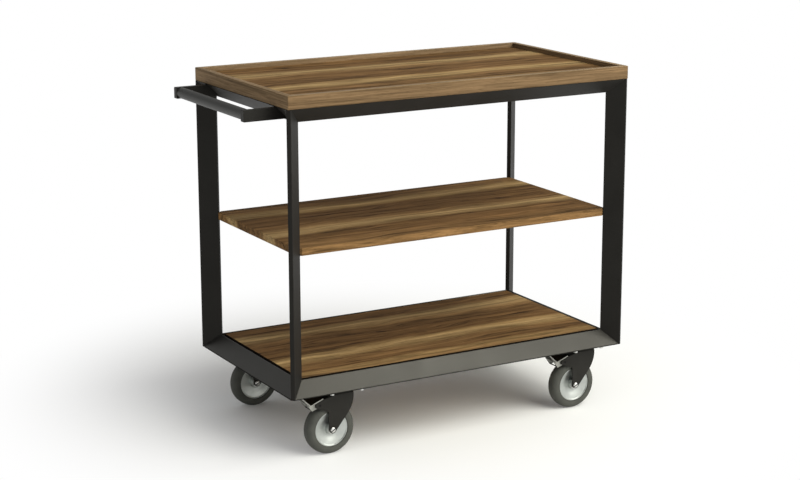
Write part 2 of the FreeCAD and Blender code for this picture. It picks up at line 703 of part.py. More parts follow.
def fork_side():
    """The outline of the fork's sides: a nose round the kingpin, a leg to the axle and a rear lobe."""
    nose_x = TRAIL + FORK_NOSE
    nose_z = CROWN_TOP - FORK_NOSE_LENGTH
    tip_x = PIVOT_X - LOBE_TIP_MARGIN
    rest_out = PEDAL_PIVOT_DISTANCE - PEDAL_THICKNESS / 2 - PEDAL_FORK_GAP
    rest_x, rest_z = pedal_point(PEDAL_INNER_ARM - PEDAL_KNUCKLE_DISTANCE, rest_out)
    rise = math.tan(math.radians(PEDAL_SLOPE))
    tangent = math.atan2(nose_z, nose_x) - math.acos(FORK_BOSS_RADIUS / math.hypot(nose_x, nose_z))
    return [
        (nose_x, CROWN_TOP, 0),
        (FORK_CROWN_START, CROWN_TOP, 0),
        (rest_x, rest_z, 0),
        (tip_x, rest_z + (tip_x - rest_x) * rise, LOBE_ROUNDING),
        (tip_x, PIVOT_Z - LOBE_UNDER_MARGIN, LOBE_ROUNDING),
        (FORK_NOTCH_X, FORK_NOTCH_Z, FORK_NOTCH_RADIUS),
        (-FORK_BOSS_RADIUS, 0, 0),
        (FORK_BOSS_RADIUS * math.cos(tangent), FORK_BOSS_RADIUS * math.sin(tangent), 0),
        (nose_x, nose_z, FORK_NOSE_ROUNDING),
    ]


def fork():
    """A pressed fork: a U of sheet over the wheel, with two rear lobes that hold the pedal's pin."""
    def arch(half, top, radius):
        corners = rectangle(-half, half, -WHEEL_RADIUS, top)
        corners[2] = (half, top, radius)
        corners[3] = (-half, top, radius)
        return slab(corners, "x", PIVOT_X - LOBE_TIP_MARGIN, TRAIL + FORK_NOSE)

    inner_bend = FORK_BEND_RADIUS - FORK_THICKNESS
    sheet = arch(FORK_OUTER, CROWN_TOP, FORK_BEND_RADIUS)
    sheet = sheet.cut(arch(FORK_INNER, CROWN_TOP - FORK_THICKNESS, inner_bend))
    side = slab(fork_side(), "y", -FORK_OUTER, FORK_OUTER)
    side = side.fuse(cross_rod(FORK_BOSS_RADIUS, -FORK_OUTER, FORK_OUTER)).removeSplitter()
    holes = [
        cross_rod(AXLE_RADIUS + FIT_CLEARANCE, -FORK_OUTER, FORK_OUTER),
        cross_rod(PIVOT_RADIUS + RUNNING_CLEARANCE, -FORK_OUTER, FORK_OUTER, PIVOT_X, PIVOT_Z),
        rod(KINGPIN_RADIUS + RUNNING_CLEARANCE, CROWN_TOP - FORK_THICKNESS, CROWN_TOP, TRAIL),
    ]
    return sheet.common(side).cut(holes)


def axle():
    """A slotted bolt through the fork and the wheel, and its nut on the far side."""
    end = FORK_OUTER + AXLE_NUT_HEIGHT
    head_face = -FORK_OUTER - AXLE_HEAD_HEIGHT
    bolt = cross_rod(AXLE_RADIUS, -FORK_OUTER, end + AXLE_TIP)
    bolt = bolt.fuse(cross_rod(AXLE_HEAD_RADIUS, head_face, -FORK_OUTER)).removeSplitter()
    half_slot = AXLE_SLOT_WIDTH / 2
    slot = rectangle(-AXLE_HEAD_RADIUS, AXLE_HEAD_RADIUS, -half_slot, half_slot)
    slot = slab(slot, "y", head_face, head_face + AXLE_SLOT_DEPTH)
    slot.rotate(ORIGIN, ALONG_Y, -AXLE_SLOT_TURN)
    nut = slab(hexagon(AXLE_NUT_WIDTH), "y", FORK_OUTER, end)
    nut = nut.cut(cross_rod(AXLE_RADIUS + NUT_CLEARANCE, FORK_OUTER, end))
    return Part.makeCompound([bolt.cut(slot), nut])


def tyre():
    """A rubber ring with round shoulders."""
    half = TYRE_WIDTH / 2
    inner = RIM_RADIUS + FIT_CLEARANCE
    return turned([
        (inner, -half, TYRE_EDGE_RADIUS), (WHEEL_RADIUS, -half, TYRE_SHOULDER_RADIUS),
        (WHEEL_RADIUS, half, TYRE_SHOULDER_RADIUS), (inner, half, TYRE_EDGE_RADIUS),
    ])


def rim():
    """The wheel's centre: a hub, a disc and a raised outer ring."""
    bore = BEARING_RADIUS + FIT_CLEARANCE
    hub = FORK_INNER - HUB_SIDE_CLEARANCE
    ring = RIM_WIDTH / 2
    disc = ring - RIM_DISC_RECESS
    ring_inner = RIM_RADIUS - RIM_RING_WIDTH
    near_side = [
        (bore, hub, 0), (HUB_RADIUS, hub, 0), (HUB_RADIUS, disc, 0),
        (ring_inner, disc, 0), (ring_inner, ring, 0), (RIM_RADIUS, ring, 0),
    ]
    far_side = [(radius, -y, rounding) for radius, y, rounding in reversed(near_side)]
    return turned(near_side + far_side)


def bearing():
    """The sleeve that the wheel turns in."""
    half = FORK_INNER - BEARING_SIDE_CLEARANCE
    sleeve = cross_rod(BEARING_RADIUS, -half, half)
    return sleeve.cut(cross_rod(AXLE_RADIUS + FIT_CLEARANCE, -half, half))


def brake_pedal():
    """A plate folded to a V, on two cheeks with a pin and a spacer through them and a shoe for the tyre."""
    knuckle_x, knuckle_z = pedal_point(-PEDAL_KNUCKLE_DISTANCE, PEDAL_PIVOT_DISTANCE)
    half_plate = PEDAL_THICKNESS / 2

    def arm(length, tip_radius, angle):
        corners = rectangle(0, length, -FORK_OUTER, FORK_OUTER)
        corners[1] = (length, -FORK_OUTER, tip_radius)
        corners[2] = (length, FORK_OUTER, tip_radius)
        plate = slab(corners, "z", -half_plate, half_plate)
        plate.rotate(ORIGIN, ALONG_Y, -angle)
        return moved(plate, knuckle_x, 0, knuckle_z)

    outer_angle = math.radians(PEDAL_SLOPE + PEDAL_BEND)
    reach_x = knuckle_x + CHEEK_OUTER_REACH * math.cos(outer_angle)
    reach_z = knuckle_z + CHEEK_OUTER_REACH * math.sin(outer_angle)
    inner_x, inner_z = pedal_point(CHEEK_INNER_REACH - PEDAL_KNUCKLE_DISTANCE, PEDAL_PIVOT_DISTANCE)
    foot_x = knuckle_x + CHEEK_FOOT_SHIFT
    foot_z = knuckle_z - CHEEK_DEPTH
    cheek = [
        (reach_x, reach_z, 0), (knuckle_x, knuckle_z, 0), (inner_x, inner_z, 0),
        (PIVOT_X + EAR_RADIUS, PIVOT_Z, 0), (PIVOT_X, PIVOT_Z - EAR_RADIUS, 0), (foot_x, foot_z, 0),
    ]
    outside = FORK_INNER - PEDAL_FORK_GAP
    inside = outside - CHEEK_THICKNESS
    pin_end = FORK_OUTER + PIVOT_PROUD
    pieces = [
        arm(PEDAL_OUTER_ARM, PEDAL_TIP_RADIUS, PEDAL_SLOPE + PEDAL_BEND),
        cross_rod(half_plate, -FORK_OUTER, FORK_OUTER, knuckle_x, knuckle_z),
        cross_rod(PIVOT_RADIUS, -pin_end, pin_end, PIVOT_X, PIVOT_Z),
        cross_rod(SPACER_RADIUS, -outside, outside, foot_x, foot_z + SPACER_RISE),
        shoe(inside),
    ]
    for low, high in ((-outside, -inside), (inside, outside)):
        pieces.append(slab(cheek, "y", low, high))
        pieces.append(cross_rod(EAR_RADIUS, low, high, PIVOT_X, PIVOT_Z))
    return arm(PEDAL_INNER_ARM, 0, PEDAL_SLOPE).fuse(pieces).removeSplitter()


def shoe(half_width):
    """The brake shoe under the pin: pressing the pedal swings it towards the axle, against the tyre."""
    reach = math.hypot(PIVOT_X, PIVOT_Z) - WHEEL_RADIUS - SHOE_TYRE_GAP - SHOE_RADIUS
    turn = math.degrees(math.atan2(-PIVOT_Z, -PIVOT_X)) - PEDAL_TRAVEL
    lever = slab(rectangle(0, reach, -SHOE_RADIUS, SHOE_RADIUS), "y", -half_width, half_width)
    lever = lever.fuse(cross_rod(SHOE_RADIUS, -half_width, half_width, reach)).removeSplitter()
    lever.rotate(ORIGIN, ALONG_Y, -turn)
    return moved(lever, PIVOT_X, 0, PIVOT_Z)


def caster_nodes():
    """The pieces of every caster: the same set, shifted under each corner of the frame."""
    pieces = {
        "caster_fork": fork(),
        "caster_axle": axle(),
        "caster_tyre": tyre(),
        "caster_rim": rim(),
        "caster_bearing": bearing(),
        "brake_pedal": brake_pedal(),
    }
    nodes = {}
    for corner, (x, y) in CASTERS.items():
        nodes["caster_plate_" + corner] = caster_plate(x, y)
        for name, piece in pieces.items():
            nodes[name + "_" + corner] = moved(piece, x - TRAIL, y, WHEEL_RADIUS)
    return nodes


def trolley():
    """Every node of the trolley, by name."""
    nodes = {}
    nodes.update(frame())
    nodes.update(tray())
    nodes.update(handle())
    nodes.update(caster_nodes())
    nodes["middle_shelf"] = middle_shelf()
    nodes["lower_board"] = lower_board()
    nodes["cross_member_left"] = cross_member(LEFT_SWIVEL_X, 1)
    nodes["cross_member_right"] = cross_member(RIGHT_SWIVEL_X, -1)
    groups = {
        "tray_tabs": tray_tabs(),
        "shelf_tabs": shelf_tabs(),
        "wood_screws": wood_screws(),
        "caster_bolts": caster_bolts(),
        "caster_nuts": caster_nuts(),
        "kingpins": kingpins(),
        "swivel_races": swivel_races(),
    }
    for name, pieces in groups.items():
        nodes[name] = Part.makeCompound(pieces)
    return nodes


os.makedirs("parts", exist_ok=True)
for node, shape in trolley().items():
    shape.exportStep("parts/" + node + ".step")
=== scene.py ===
import math

import bmesh
import bpy
from mathutils import Matrix, Vector


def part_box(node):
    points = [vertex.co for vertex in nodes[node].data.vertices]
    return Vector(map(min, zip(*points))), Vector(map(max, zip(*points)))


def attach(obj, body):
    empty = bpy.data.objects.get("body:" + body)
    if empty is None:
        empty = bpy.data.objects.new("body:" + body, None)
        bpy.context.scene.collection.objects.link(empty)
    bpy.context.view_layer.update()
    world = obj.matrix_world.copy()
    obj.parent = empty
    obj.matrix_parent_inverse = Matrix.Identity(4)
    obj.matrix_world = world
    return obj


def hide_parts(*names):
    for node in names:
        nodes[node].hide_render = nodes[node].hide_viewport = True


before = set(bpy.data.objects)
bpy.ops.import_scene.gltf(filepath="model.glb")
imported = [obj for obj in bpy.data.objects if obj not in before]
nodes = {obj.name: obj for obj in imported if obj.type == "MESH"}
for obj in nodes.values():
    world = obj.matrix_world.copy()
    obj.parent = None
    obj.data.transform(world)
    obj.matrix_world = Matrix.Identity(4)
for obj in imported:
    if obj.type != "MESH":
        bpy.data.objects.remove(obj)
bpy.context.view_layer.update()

# Sizes of the modelled pieces, in metres, the same as the part's own
LIP_BEVEL = 0.0011
DISC_RADIUS = 0.0458
DISC_BEVEL = 0.0004
RING_HALF_WIDTH = 0.016
HUB_HALF_WIDTH = 0.0195
BORE_RADIUS = 0.01105
AXLE_RADIUS = 0.005
AXLE_HEAD_RADIUS = 0.007
AXLE_HEAD_HEIGHT = 0.003
AXLE_TIP = 0.002
SLOT_WIDTH = 0.0026
SLOT_DEPTH = 0.0022
SLOT_TURN = math.radians(-30)
NUT_WIDTH = 0.017
NUT_HEIGHT = 0.007
NUT_BEVEL = 0.0008
FORK_HALF_WIDTH = 0.0245
PIN_DISTANCE = 0.079
PIN_ANGLE = math.radians(62.9)
PIN_END_RADIUS = 0.004
FRAME_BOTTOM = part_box("bottom_rail_front")[0].z
CORNERS = ("front_left", "front_right", "rear_left", "rear_right")


def linear(hex_colour):
    """An sRGB hex colour as linear red, green, blue and alpha."""
    channels = [int(hex_colour[i:i + 2], 16) / 255 for i in (1, 3, 5)]
    return [c / 12.92 if c <= 0.04045 else ((c + 0.055) / 1.055) ** 2.4 for c in channels] + [1.0]


def add(tree, kind, inputs=None, stops=(), **settings):
    """Adds a node with its settings, its colour stops, and a value or a link for each input."""
    node = tree.nodes.new(kind)
    for name, value in settings.items():
        setattr(node, name, value)
    for name, value in (inputs or {}).items():
        if isinstance(value, bpy.types.NodeSocket):
            tree.links.new(value, node.inputs[name])
        else:
            node.inputs[name].default_value = value
    for number, (place, colour) in enumerate(stops):
        elements = node.color_ramp.elements
        if number >= len(elements):
            elements.new(place)
        elements[number].position = place
        elements[number].color = linear(colour)
    return node


def new_material(name):
    """An empty node material with its tree and the piece's own coordinates."""
    material = bpy.data.materials.new(name)
    material.use_nodes = True
    tree = material.node_tree
    tree.nodes.clear()
    return material, tree, add(tree, "ShaderNodeTexCoord").outputs["Object"]


def axis_distance(tree, place, axis):
    """The distance from a line across the trolley, such as an axle."""
    centred = add(tree, "ShaderNodeMapping", {"Vector": place, "Location": (-axis.x, 0, -axis.z)})
    flat = add(
        tree, "ShaderNodeVectorMath", {0: centred.outputs["Vector"], 1: (1, 0, 1)}, operation="MULTIPLY"
    ).outputs[0]
    return add(tree, "ShaderNodeVectorMath", {0: flat}, operation="LENGTH").outputs["Value"]


# Tones of the wood, from the dark heart to the light sapwood
HEARTWOOD = "#694d2e"
BROWN_WOOD = "#775a38"
LIGHT_WOOD = "#8f754c"
SAPWOOD = "#a68c60"

# Bands across a board, as places in millimetres from the board's middle
BAND_REACH = 290
BOARD_BANDS = [
    (-290, BROWN_WOOD), (-232, BROWN_WOOD), (-185, LIGHT_WOOD), (-166, HEARTWOOD), (-108, BROWN_WOOD),
    (-92, LIGHT_WOOD), (-70, SAPWOOD), (-52, LIGHT_WOOD), (-36, HEARTWOOD), (58, HEARTWOOD), (92, BROWN_WOOD),
    (132, SAPWOOD), (154, SAPWOOD), (186, HEARTWOOD), (232, HEARTWOOD), (290, BROWN_WOOD),
]
# Lip tones of one walnut; the lighter copy is painted light on the rear and left lips, for the light they
# show
LIP_BANDS = [(-290, "#6d5a41"), (0, "#735e45"), (290, "#6f5b42")]
LIGHTENED_LIP_BANDS = [(-290, "#7c6950"), (0, "#826e54"), (290, "#7e6a51")]

# How far the grain wanders in metres, and how strongly the streaks, growth lines and knots darken it
BOARD_GRAIN = {"sway": 0.09, "streak": 3.0, "line": 1.6, "knot": 0.6}
LIP_GRAIN = {"sway": 0.02, "streak": 1.0, "line": 2.0, "knot": 0.1}
# Width of the painted gap shade along a board's outer edges, in metres
GAP_SHADE_DEPTH = 0.001

# Patterns drawn out along the grain: length and width in metres, and the noise's settings
GRAIN_PATTERNS = {
    # Streaks are 20 mm wide and run for about 0.6 m
    "streaks": (0.6, 0.02, {"Detail": 4.0, "Roughness": 0.68, "Distortion": 0.4}),
    # Growth lines are 4 mm apart and about 0.2 m long
    "lines": (0.2, 0.004, {"Detail": 3.0, "Roughness": 0.6, "Distortion": 0.3}),
    # Knots are 15 mm wide and 110 mm long
    "knots": (0.11, 0.015, {"Detail": 3.0, "Roughness": 0.6, "Distortion": 0.9}),
    # Pores are a third of a millimetre wide, drawn as 1.5 mm ticks so that they show
    "pores": (0.022, 0.0015, {"Detail": 2.0}),
}


def wood_figure(tree, colour, patterns, streak, line, knot):
    """Streaks, growth lines and knots on the wood's bands, with the knots only where the wood is dark."""
    knots = add(
        tree, "ShaderNodeMapRange",
        {"Value": patterns["knots"], "From Min": 0.52, "From Max": 0.72, "To Min": 0.0, "To Max": knot},
    ).outputs["Result"]
    heart = add(
        tree, "ShaderNodeMapRange",
        {"Value": colour, "From Min": 0.09, "From Max": 0.15, "To Min": 1.0, "To Max": 0.1},
    ).outputs["Result"]
    knots = add(tree, "ShaderNodeMath", {0: knots, 1: heart}, operation="MULTIPLY").outputs[0]
    shade = add(
        tree, "ShaderNodeMath",
        {0: patterns["streaks"], 1: streak, 2: 1 - streak / 2 - line / 2}, operation="MULTIPLY_ADD",
    ).outputs[0]
    shade = add(
        tree, "ShaderNodeMath", {0: patterns["lines"], 1: line, 2: shade}, operation="MULTIPLY_ADD"
    ).outputs[0]
    shade = add(tree, "ShaderNodeMath", {0: shade, 1: knots}, operation="SUBTRACT").outputs[0]
    return add(tree, "ShaderNodeHueSaturation", {"Color": colour, "Value": shade}).outputs["Color"]


def painted_gap_shade(tree, place, colour, box):
    """Painted shade on a board's outer edges, just inside its outline, for the shadow in the gaps beside the
    rails.
    """
    middle = (box[0] + box[1]) / 2
    inner = (box[1] - box[0]) / 2 - Vector((GAP_SHADE_DEPTH, GAP_SHADE_DEPTH, 0))
    offset = add(tree, "ShaderNodeVectorMath", {0: place, 1: middle}, operation="SUBTRACT").outputs[0]
    offset = add(tree, "ShaderNodeVectorMath", {0: offset}, operation="ABSOLUTE").outputs[0]
    offset = add(tree, "ShaderNodeSeparateXYZ", {"Vector": offset}).outputs
    ends = add(tree, "ShaderNodeMath", {0: offset["X"], 1: inner.x}, operation="GREATER_THAN").outputs[0]
    sides = add(tree, "ShaderNodeMath", {0: offset["Y"], 1: inner.y}, operation="GREATER_THAN").outputs[0]
    gap_shaded = add(tree, "ShaderNodeMath", {0: ends, 1: sides}, operation="MAXIMUM").outputs[0]
    return add(
        tree, "ShaderNodeMix", {0: gap_shaded, 6: colour, 7: linear("#17120d")}, data_type="RGBA"
    ).outputs[2]


def painted_top_highlight(tree, colour, amount):
    """Painted highlight: paler wood on the faces that point up, standing in for the light they catch."""
    facing = add(tree, "ShaderNodeTexCoord").outputs["Normal"]
    upwards = add(tree, "ShaderNodeSeparateXYZ", {"Vector": facing}).outputs["Z"]
    top_highlight_share = add(
        tree, "ShaderNodeMapRange",
        {"Value": upwards, "From Min": 0.5, "From Max": 0.9, "To Min": 0.0, "To Max": amount},
    ).outputs["Result"]
    return add(tree, "ShaderNodeMix", {0: top_highlight_share, 6: colour, 7: linear("#a8957a")}, data_type="RGBA").outputs[2]


def walnut(name, origin, turn, bands, sway, streak, line, knot, edges=None, top_highlight=0.0):
    """Oiled walnut, sawn along the grain and sanded.
    Sapwood and heartwood give broad light and dark bands that wander along the board.
    Growth lines streak them, small dark knots sit in the heartwood, and the open pores show as ticks.
    """
    material, tree, place = new_material(name)
    board = add(
        tree, "ShaderNodeMapping",
        {"Vector": place, "Location": origin, "Rotation": (0, 0, math.radians(turn))},
    ).outputs["Vector"]
    # The grain wanders sideways over about half a metre of length
    wander = add(tree, "ShaderNodeMapping", {"Vector": board, "Scale": (1 / 0.42, 1 / 0.12, 1 / 0.12)})
    wander = add(
        tree, "ShaderNodeTexNoise", {"Vector": wander.outputs["Vector"], "Scale": 1.0, "Detail": 2.5}
    ).outputs["Color"]
    bend = add(tree, "ShaderNodeVectorMath", {0: wander, 1: (0.5, 0.5, 0.5)}, operation="SUBTRACT").outputs[0]
    bend = add(
        tree, "ShaderNodeVectorMath", {0: bend, 1: (0, sway, sway / 2)}, operation="MULTIPLY"
    ).outputs[0]
    grain = add(tree, "ShaderNodeVectorMath", {0: board, 1: bend}, operation="ADD").outputs[0]
    across = add(
        tree, "ShaderNodeVectorMath", {0: grain, 1: (0, 1, 0.6)}, operation="DOT_PRODUCT"
    ).outputs["Value"]
    reach = BAND_REACH / 1000
    share = add(
        tree, "ShaderNodeMapRange",
        {"Value": across, "From Min": -reach, "From Max": reach, "To Min": 0.0, "To Max": 1.0},
    ).outputs["Result"]
    colour = add(
        tree, "ShaderNodeValToRGB", {"Fac": share},
        stops=[((middle + BAND_REACH) / (2 * BAND_REACH), tone) for middle, tone in bands],
    ).outputs["Color"]
    colour = add(
        tree, "ShaderNodeMix", {0: 0.2, 6: colour, 7: linear("#7d623f")}, data_type="RGBA"
    ).outputs[2]
    patterns = {}
    for pattern, (length, width, settings) in GRAIN_PATTERNS.items():
        drawn_out = add(
            tree, "ShaderNodeMapping", {"Vector": grain, "Scale": (1 / length, 1 / width, 1 / width)}
        ).outputs["Vector"]
        noise = add(tree, "ShaderNodeTexNoise", {"Vector": drawn_out, "Scale": 1.0, **settings})
        patterns[pattern] = noise.outputs["Fac"]
    colour = wood_figure(tree, colour, patterns, streak, line, knot)
    ticks = add(
        tree, "ShaderNodeMapRange",
        {"Value": patterns["pores"], "From Min": 0.55, "From Max": 0.72, "To Min": 0.0, "To Max": 0.4},
    ).outputs["Result"]
    colour = add(
        tree, "ShaderNodeMix", {0: ticks, 6: colour, 7: linear("#43301c")}, data_type="RGBA"
    ).outputs[2]
    # Painted shade along the outer edges, for the shadow in the gaps beside the rails
    if edges:
        colour = painted_gap_shade(tree, place, colour, edges)
    # Painted highlight on the faces that point up
    if top_highlight:
        colour = painted_top_highlight(tree, colour, top_highlight)
    raised = add(tree, "ShaderNodeBump", {"Height": patterns["pores"], "Strength": 0.15, "Distance": 0.0004})
    sheen = add(
        tree, "ShaderNodeMapRange",
        {"Value": patterns["lines"], "From Min": 0.3, "From Max": 0.7, "To Min": 0.76, "To Max": 0.64},
    ).outputs["Result"]
    shader = add(
        tree, "ShaderNodeBsdfPrincipled",
        {
            "Base Color": colour, "Roughness": sheen, "Normal": raised.outputs["Normal"],
            "IOR": 1.45, "Specular IOR Level": 0.04,
        },
    )
    add(tree, "ShaderNodeOutputMaterial", {"Surface": shader.outputs[0]})
    return material


def powder_coat(name, base, worn, roughness, gloss):
    """Black polyester powder coat, sprayed on steel and baked.
    It dries to a satin skin with an orange-peel texture, a little greyer where it is thin.
    Along the frame's lowest edge it is painted dull and black, a painted shade where the cut face is in
    shadow.
    """
    material, tree, place = new_material(name)
    # Orange peel is about 1 mm across, drawn at 3 mm so that it shows
    peel = add(
        tree, "ShaderNodeTexNoise", {"Vector": place, "Scale": 1 / 0.003, "Detail": 2.0}
    ).outputs["Fac"]
    cloud = add(
        tree, "ShaderNodeTexNoise", {"Vector": place, "Scale": 1 / 0.09, "Detail": 3.0}
    ).outputs["Fac"]
    colour = add(
        tree, "ShaderNodeValToRGB", {"Fac": cloud}, stops=[(0.35, base), (0.75, worn)]
    ).outputs["Color"]
    satin = add(
        tree, "ShaderNodeMapRange",
        {
            "Value": cloud, "From Min": 0.3, "From Max": 0.7,
            "To Min": roughness - 0.04, "To Max": roughness + 0.04,
        },
    ).outputs["Result"]
    # Painted shade: a dull black line reaching 2 mm up from the frame's lowest edge, where it lies in shadow
    height = add(tree, "ShaderNodeSeparateXYZ", {"Vector": place}).outputs["Z"]
    painted_edge_shade = add(
        tree, "ShaderNodeMapRange",
        {
            "Value": height, "From Min": FRAME_BOTTOM + 0.0015, "From Max": FRAME_BOTTOM + 0.0022,
            "To Min": 1.0, "To Max": 0.0,
        },
    ).outputs["Result"]
    on_frame = add(
        tree, "ShaderNodeMath", {0: height, 1: FRAME_BOTTOM - 0.001}, operation="GREATER_THAN"
    ).outputs[0]
    painted_edge_shade = add(tree, "ShaderNodeMath", {0: painted_edge_shade, 1: on_frame}, operation="MULTIPLY").outputs[0]
    colour = add(
        tree, "ShaderNodeMix", {0: painted_edge_shade, 6: colour, 7: linear("#060606")}, data_type="RGBA"
    ).outputs[2]
    satin = add(tree, "ShaderNodeMath", {0: painted_edge_shade, 1: 0.55, 2: satin}, operation="MULTIPLY_ADD").outputs[0]
    skin = add(tree, "ShaderNodeBump", {"Height": peel, "Strength": 0.12, "Distance": 0.0003})
    shader = add(
        tree, "ShaderNodeBsdfPrincipled",
        {
            "Base Color": colour, "Roughness": satin, "Normal": skin.outputs["Normal"],
            "IOR": 1.5, "Specular IOR Level": gloss, "Specular Tint": linear("#fffdf0"),
        },
    )
    add(tree, "ShaderNodeOutputMaterial", {"Surface": shader.outputs[0]})
    return material


def zinc_plate(name, dull, bright, roughness):
    """Zinc-plated steel, bright from the bath.
    A cool silver with faint blotches where the plating crystals catch the light.
    """
    material, tree, place = new_material(name)
    crystals = add(tree, "ShaderNodeTexVoronoi", {"Vector": place, "Scale": 1 / 0.004}).outputs["Distance"]
    blotch = add(
        tree, "ShaderNodeTexNoise", {"Vector": place, "Scale": 1 / 0.012, "Detail": 4.0}
    ).outputs["Fac"]
    colour = add(
        tree, "ShaderNodeValToRGB", {"Fac": blotch}, stops=[(0.3, dull), (0.7, bright)]
    ).outputs["Color"]
    satin = add(
        tree, "ShaderNodeMapRange",
        {
            "Value": crystals, "From Min": 0.0, "From Max": 0.8,
            "To Min": roughness - 0.06, "To Max": roughness + 0.06,
        },
    ).outputs["Result"]
    shader = add(
        tree, "ShaderNodeBsdfPrincipled",
        {"Base Color": colour, "Roughness": satin, "Metallic": 1.0},
    )
    add(tree, "ShaderNodeOutputMaterial", {"Surface": shader.outputs[0]})
    return material


def pressed_pedal(name, pin):
    """Pedal bent from galvanised strip.
    The broad faces are painted dull and dark as shade, the sheared edges and the cheeks show grey zinc.
    The pin's ends are black.
    """
    material, tree, place = new_material(name)
    blotch = add(
        tree, "ShaderNodeTexNoise", {"Vector": place, "Scale": 1 / 0.012, "Detail": 4.0}
    ).outputs["Fac"]
    dull = add(
        tree, "ShaderNodeValToRGB", {"Fac": blotch}, stops=[(0.3, "#24231f"), (0.7, "#33312c")]
    ).outputs["Color"]
    bright = add(
        tree, "ShaderNodeValToRGB", {"Fac": blotch}, stops=[(0.3, "#8f8f87"), (0.7, "#a8a8a0")]
    ).outputs["Color"]
    facing = add(tree, "ShaderNodeTexCoord").outputs["Normal"]
    sideways = add(tree, "ShaderNodeSeparateXYZ", {"Vector": facing}).outputs["Y"]
    sideways = add(tree, "ShaderNodeMath", {0: sideways}, operation="ABSOLUTE").outputs[0]
    # Faces that point sideways show zinc; the broad faces keep the dark tone, a painted shade
    cut = add(
        tree, "ShaderNodeMapRange",
        {"Value": sideways, "From Min": 0.4, "From Max": 0.7, "To Min": 0.0, "To Max": 1.0},
    ).outputs["Result"]
    colour = add(tree, "ShaderNodeMix", {0: cut, 6: dull, 7: bright}, data_type="RGBA").outputs[2]
    black = add(
        tree, "ShaderNodeMapRange",
        {
            "Value": axis_distance(tree, place, pin),
            "From Min": PIN_END_RADIUS, "From Max": 1.1 * PIN_END_RADIUS, "To Min": 1.0, "To Max": 0.0,
        },
    ).outputs["Result"]
    colour = add(
        tree, "ShaderNodeMix", {0: black, 6: colour, 7: linear("#141413")}, data_type="RGBA"
    ).outputs[2]
    rough = add(
        tree, "ShaderNodeMapRange",
        {"Value": cut, "From Min": 0.0, "From Max": 1.0, "To Min": 0.6, "To Max": 0.45},
    ).outputs["Result"]
    shader = add(
        tree, "ShaderNodeBsdfPrincipled",
        {"Base Color": colour, "Roughness": rough, "Metallic": 0.6, "Specular IOR Level": 0.3},
    )
    add(tree, "ShaderNodeOutputMaterial", {"Surface": shader.outputs[0]})
    return material


def moulded_rubber(name):
    """Grey rubber, moulded on the wheel.
    Matte and soft-looking, with a dusty bloom in patches.
    """
    material, tree, place = new_material(name)
    bloom = add(
        tree, "ShaderNodeTexNoise", {"Vector": place, "Scale": 1 / 0.02, "Detail": 5.0}
    ).outputs["Fac"]
    grit = add(
        tree, "ShaderNodeTexNoise", {"Vector": place, "Scale": 1 / 0.0015, "Detail": 2.0}
    ).outputs["Fac"]
    colour = add(
        tree, "ShaderNodeValToRGB", {"Fac": bloom}, stops=[(0.3, "#444540"), (0.7, "#4f504a")]
    ).outputs["Color"]
    rough = add(
        tree, "ShaderNodeMapRange",
        {"Value": bloom, "From Min": 0.3, "From Max": 0.7, "To Min": 0.66, "To Max": 0.8},
    ).outputs["Result"]
    skin = add(tree, "ShaderNodeBump", {"Height": grit, "Strength": 0.1, "Distance": 0.0003})
    shader = add(
        tree, "ShaderNodeBsdfPrincipled",
        {
            "Base Color": colour, "Roughness": rough, "Normal": skin.outputs["Normal"],
            "IOR": 1.5, "Specular IOR Level": 0.25,
        },
    )
    add(tree, "ShaderNodeOutputMaterial", {"Surface": shader.outputs[0]})
    return material


def spun_disc(name, axle):
    """Pressed steel disc, zinc plated and spun smooth.
    Fine rings round the axle stretch its reflections into a soft fan.
    """
    material, tree, place = new_material(name)
    radius = axis_distance(tree, place, axle)
    # Spinning rings are a tenth of a millimetre apart, drawn at 1.2 mm so that they show
    rings = add(tree, "ShaderNodeMath", {0: radius, 1: 1 / 0.0012}, operation="MULTIPLY").outputs[0]
    rings = add(
        tree, "ShaderNodeTexNoise", {"W": rings, "Scale": 1.0, "Detail": 2.0}, noise_dimensions="1D"
    ).outputs["Fac"]
    blotch = add(
        tree, "ShaderNodeTexNoise", {"Vector": place, "Scale": 1 / 0.03, "Detail": 3.0}
    ).outputs["Fac"]
    colour = add(
        tree, "ShaderNodeValToRGB", {"Fac": blotch}, stops=[(0.3, "#afb3af"), (0.7, "#c0c4c0")]
    ).outputs["Color"]
    satin = add(
        tree, "ShaderNodeMapRange",
        {"Value": rings, "From Min": 0.3, "From Max": 0.7, "To Min": 0.36, "To Max": 0.44},
    ).outputs["Result"]
    skin = add(tree, "ShaderNodeBump", {"Height": rings, "Strength": 0.1, "Distance": 0.0002})
    shader = add(
        tree, "ShaderNodeBsdfPrincipled",
        {
            "Base Color": colour, "Roughness": satin, "Normal": skin.outputs["Normal"], "Metallic": 1.0,
        },
    )
    add(tree, "ShaderNodeOutputMaterial", {"Surface": shader.outputs[0]})
    return material


def dress(piece, material):
    """Gives a piece its finish."""
    piece.data.materials.clear()
    piece.data.materials.append(material)


def deselect():
    """Leaves every object unselected."""
    bpy.ops.object.select_all(action="DESELECT")


def take(piece):
    """Selects one piece alone and makes it the object in hand."""
    deselect()
    piece.select_set(True)
    bpy.context.view_layer.objects.active = piece


def settle(name):
    """Puts the place, turn and size of the object in hand into its mesh."""
    bpy.ops.object.transform_apply(location=True, rotation=True, scale=True)
    piece = bpy.context.object
    piece.name = name
    piece.data.name = name
    return piece


def pick_faces(test):
    """Selects the faces of the mesh in hand whose middle and normal pass the test."""
    mesh = bmesh.from_edit_mesh(bpy.context.object.data)
    for face in mesh.faces:
        face.select_set(False)
    for face in mesh.faces:
        if test(face.calc_center_median(), face.normal):
            face.select_set(True)
    mesh.select_flush_mode()
    bmesh.update_edit_mesh(bpy.context.object.data)


